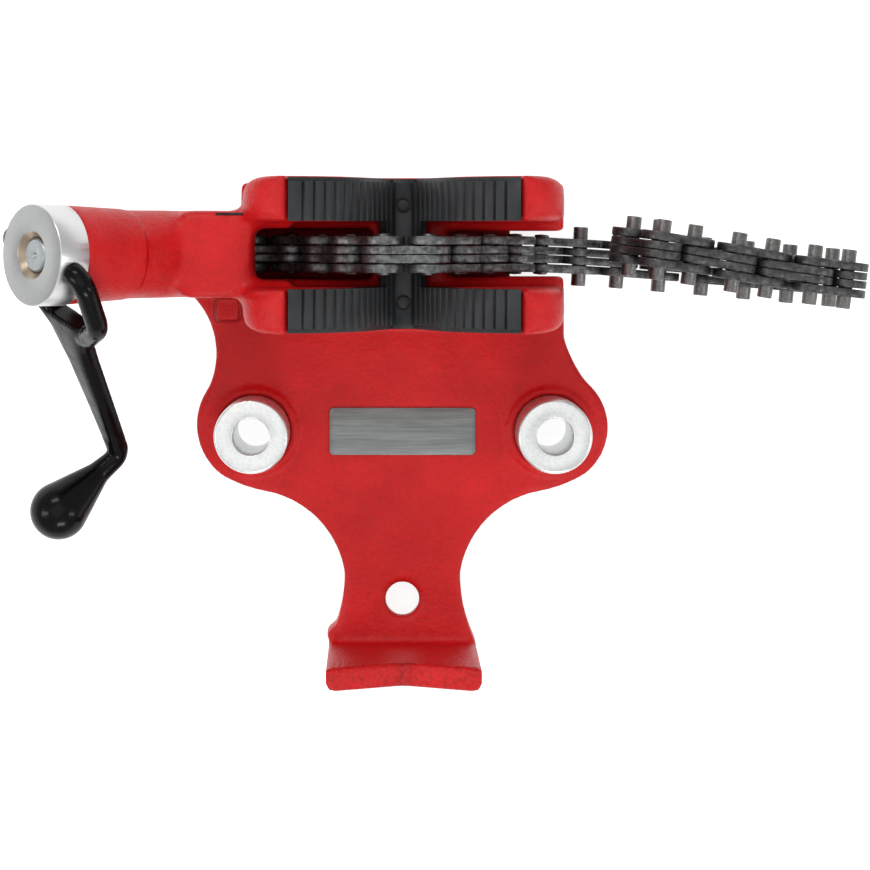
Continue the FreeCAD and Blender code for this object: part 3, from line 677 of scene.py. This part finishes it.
# Figure of eight round two pins: two end arcs joined by two hollow waist arcs.
def plateOutline(inset, count=14):
    end = chain["end"] - inset
    waist = chain["waist"] + inset
    half = chain["pitch"] / 2
    height = math.sqrt((chain["end"] + chain["waist"]) ** 2 - half**2)
    tangent = math.atan2(height, half)
    points = []
    for angle in np.linspace(math.pi - tangent, -(math.pi - tangent), 2 * count + 1):
        points.append((2 * half + end * math.cos(angle), end * math.sin(angle)))
    for angle in np.linspace(tangent, math.pi - tangent, count)[1:-1]:
        points.append((half + waist * math.cos(angle), -height + waist * math.sin(angle)))
    for angle in np.linspace(-tangent, -2 * math.pi + tangent, 2 * count + 1):
        points.append((end * math.cos(angle), end * math.sin(angle)))
    for angle in np.linspace(math.pi + tangent, 2 * math.pi - tangent, count)[1:-1]:
        points.append((half + waist * math.cos(angle), height + waist * math.sin(angle)))
    return np.array(points)


# One link plate with rounded edges, its middle at an offset across the chain.
def platePart(start, along, rise, across, offset, width, material, wear):
    edge = chain["edge"]
    rings = []
    for depth, inset in ((0.0, edge), (0.3 * edge, 0.3 * edge), (edge, 0.0)):
        rings.append((-width / 2 + depth, inset))
    rings += [(-y, inset) for y, inset in reversed(rings)]
    loops = []
    for y, inset in rings:
        flat = plateOutline(inset)
        place = np.array(start + across * (offset + y))
        loops.append(place + flat[:, :1] * np.array(along) + flat[:, 1:] * np.array(rise))
    points, faces = ringSkin(loops)
    return points, faces, material, wear


# Chain pin turned about its axis, with a rounded rim and a peened or flat end.
def pinPart(centre, across, radius, half, material, domed):
    side = Vector((0, 0, 1)).cross(across).normalized()
    rise = across.cross(side)
    edge = 0.5 * mm
    profile = [(0.0, -half - (0.25 * mm if domed else 0.0))]
    profile += [(radius * 0.6, -half - (0.1 * mm if domed else 0.0))]
    profile += [(radius - edge, -half), (radius - 0.3 * edge, -half + 0.3 * edge)]
    profile += [(radius, -half + edge)]
    profile += [(r, -y) for r, y in reversed(profile)]
    turns = np.linspace(0, 2 * math.pi, 28, endpoint=False)
    loops = []
    for r, y in profile:
        middle = centre + across * y
        ring = [middle + side * (r * math.cos(t)) + rise * (r * math.sin(t)) for t in turns]
        loops.append(np.array(ring))
    points, faces = ringSkin(loops, False, False)
    return points, faces, material, 1.0


# A link of two inner plates, or of two outer plates with the pins at both its ends.
def linkParts(number, points, yaws, plates, pins):
    start, end = points[number], points[number + 1]
    turn = math.radians(yaws[number])
    across = Vector((-math.sin(turn), math.cos(turn), 0.0))
    along = (end - start).normalized()
    rise = across.cross(along)
    width, gap = chain["plate"], chain["innerGap"]
    wear = float(np.clip((14 - number) / 4, 0.0, 1.0))
    parts = []
    if number % 2:
        for side in (-1, 1):
            offset = side * (width + gap) / 2
            thin = width - 2 * gap
            parts.append(platePart(start, along, rise, across, offset, thin, plates, wear))
        return parts
    for side in (-1, 1):
        offset = side * (width * 1.5 + gap / 2 + chain["layerGap"])
        parts.append(platePart(start, along, rise, across, offset, width, plates, wear))
    for index, centre in ((number, start), (number + 1, end)):
        tall = index >= chain["firstTall"]
        half = chain["tallPin"] if tall else chain["shortPin"]
        parts.append(pinPart(centre, across, chain["pin"], half, pins, not tall))
    return parts


# Every link as its own mesh on its own body; the locked coil rides on its two groups.
def makeChain(plates, pins):
    points, yaws = chainRoute()
    groups = {}
    for number in range(len(points) - 1):
        body = "chain_link_%02d" % (number + 1)
        if number in chain["floorLinks"]:
            body = "coil_floor_links"
        elif number >= chain["topStart"]:
            body = "coil_top_links"
        groups.setdefault(body, []).extend(linkParts(number, points, yaws, plates, pins))
    for body, parts in groups.items():
        makeObject("fine_" + body, parts, body, [body])


# Camera and light

view = {
    "pixels": 870, "focal": 2620.0, "height": 1175.0, "sensor": 36.0,
    "x": -9.9, "y": 11.0, "footX": 380.0, "footY": 228.0,
}
# Name, place, width and length in metres, and power in watts of each lamp.
lamps = (
    ("top_box", (-0.1, 0.05, 1.35), (1.2, 1.0), 2.6),
    ("back_box", (-0.35, 0.75, 0.85), (0.5, 0.22), 3.2),
    ("left_box", (-0.9, -0.2, 0.7), (0.22, 0.5), 2.2),
    ("right_box", (0.9, -0.3, 0.7), (0.22, 0.5), 2.0),
    ("front_box", (0.1, -1.0, 0.8), (0.5, 0.22), 4.4),
)
stage = {"aim": (0, -0.05, 0), "reach": 3.0, "floor": 0.55, "glow": 0.86, "world": 0.66}


# Camera straight above the bench, shifted, because the photo's upright lines meet off centre.
def makeCamera():
    data = bpy.data.cameras.new("camera")
    data.sensor_width = view["sensor"]
    data.lens = view["sensor"] * view["focal"] / view["pixels"]
    data.shift_x = (view["pixels"] / 2 - view["footX"]) / view["pixels"]
    data.shift_y = (view["footY"] - view["pixels"] / 2) / view["pixels"]
    data.clip_start = 0.05
    data.clip_end = 10.0
    camera = bpy.data.objects.new("camera", data)
    camera.location = (view["x"] * mm, view["y"] * mm, view["height"] * mm)
    scene.collection.objects.link(camera)
    scene.camera = camera


def makeLamp(name, place, target, size, power):
    data = bpy.data.lights.new(name, "AREA")
    data.shape = "RECTANGLE"
    data.size, data.size_y = size
    data.energy = power
    lamp = bpy.data.objects.new(name, data)
    lamp.location = place
    lamp.rotation_euler = (Vector(target) - Vector(place)).to_track_quat("-Z", "Y").to_euler()
    scene.collection.objects.link(lamp)


# White sweep under the vise and soft boxes above it, as in a product photo.
def makeStage():
    material, tree, shader, place = newMaterial("white_floor")
    shader.inputs["Base Color"].default_value = grey(stage["floor"])
    shader.inputs["Roughness"].default_value = 0.9
    rays = add(tree, "LightPath").outputs
    seen = math2(tree, "MAXIMUM", rays["Is Camera Ray"], rays["Is Glossy Ray"])
    seen = math2(tree, "MAXIMUM", seen, rays["Is Transmission Ray"])
    strength = math2(tree, "MULTIPLY", seen, stage["glow"])
    glow = add(tree, "Emission", [("Strength", strength)], Color=grey(1.0))
    output = next(n for n in tree.nodes if n.type == "OUTPUT_MATERIAL")
    both = add(tree, "AddShader", [(0, shader.outputs[0]), (1, glow.outputs[0])])
    tree.links.new(both.outputs[0], output.inputs[0])
    mesh = bpy.data.meshes.new("floor")
    reach = stage["reach"]
    corners = [(-reach, -reach, 0), (reach, -reach, 0), (reach, reach, 0), (-reach, reach, 0)]
    mesh.from_pydata(corners, [], [(0, 1, 2, 3)])
    mesh.materials.append(material)
    floor = bpy.data.objects.new("floor", mesh)
    floor.location.z = -0.0005
    scene.collection.objects.link(floor)
    world = bpy.data.worlds.new("white")
    scene.world = world
    world.use_nodes = True
    sky = world.node_tree.nodes["Background"]
    sky.inputs["Color"].default_value = grey(1.0)
    sky.inputs["Strength"].default_value = stage["world"]
    for name, place, size, power in lamps:
        makeLamp(name, place, stage["aim"], size, power)
    scene.view_settings.view_transform = "Standard"


makeCamera()
makeStage()
print("stage done")

red = redPaint()
black = blackSteel()
gloss = glossBlack()
# Bright zinc of the bushings, near white, with lines along their height.
zinc = brightSteel("zinc_plated_steel", "#cfd2d1", "#e0e2e1", 0.30, (1, 1, 0.1), metal=0.8)
turned = nutSteel()
screwSteel = brightSteel("bright_screw_steel", "#989da0", "#a9aeb0", 0.40, (1, 1, 1), 0.00001)
plateSteel = brightSteel("brushed_name_plate", "#6f7371", "#878b89", 0.42, (0.05, 1, 1), 0.00003)
pinSteel = brightSteel("bright_pin_steel", "#5c5b5a", "#7d7c7b", 0.42, (1, 1, 1), 0.00002)
chainPlates = chainSteel()

makeCasting(red)
bevelNode(setMaterial("jaw", black), 0.25 * mm)
bevelNode(setMaterial("jaw_pins", black), 0.3 * mm)
bevelNode(setMaterial("bolt_bushings", zinc), 0.3 * mm)
bevelNode(setMaterial("name_plate", plateSteel), 0.2 * mm)
bevelNode(setMaterial("crank_nut", turned), 0.25 * mm)
bevelNode(setMaterial("screw", screwSteel), 0.2 * mm)
print("casting, jaw and screw done")
makeCrank(gloss)
print("crank done")

makeChain(chainPlates, pinSteel)
print("chain done")
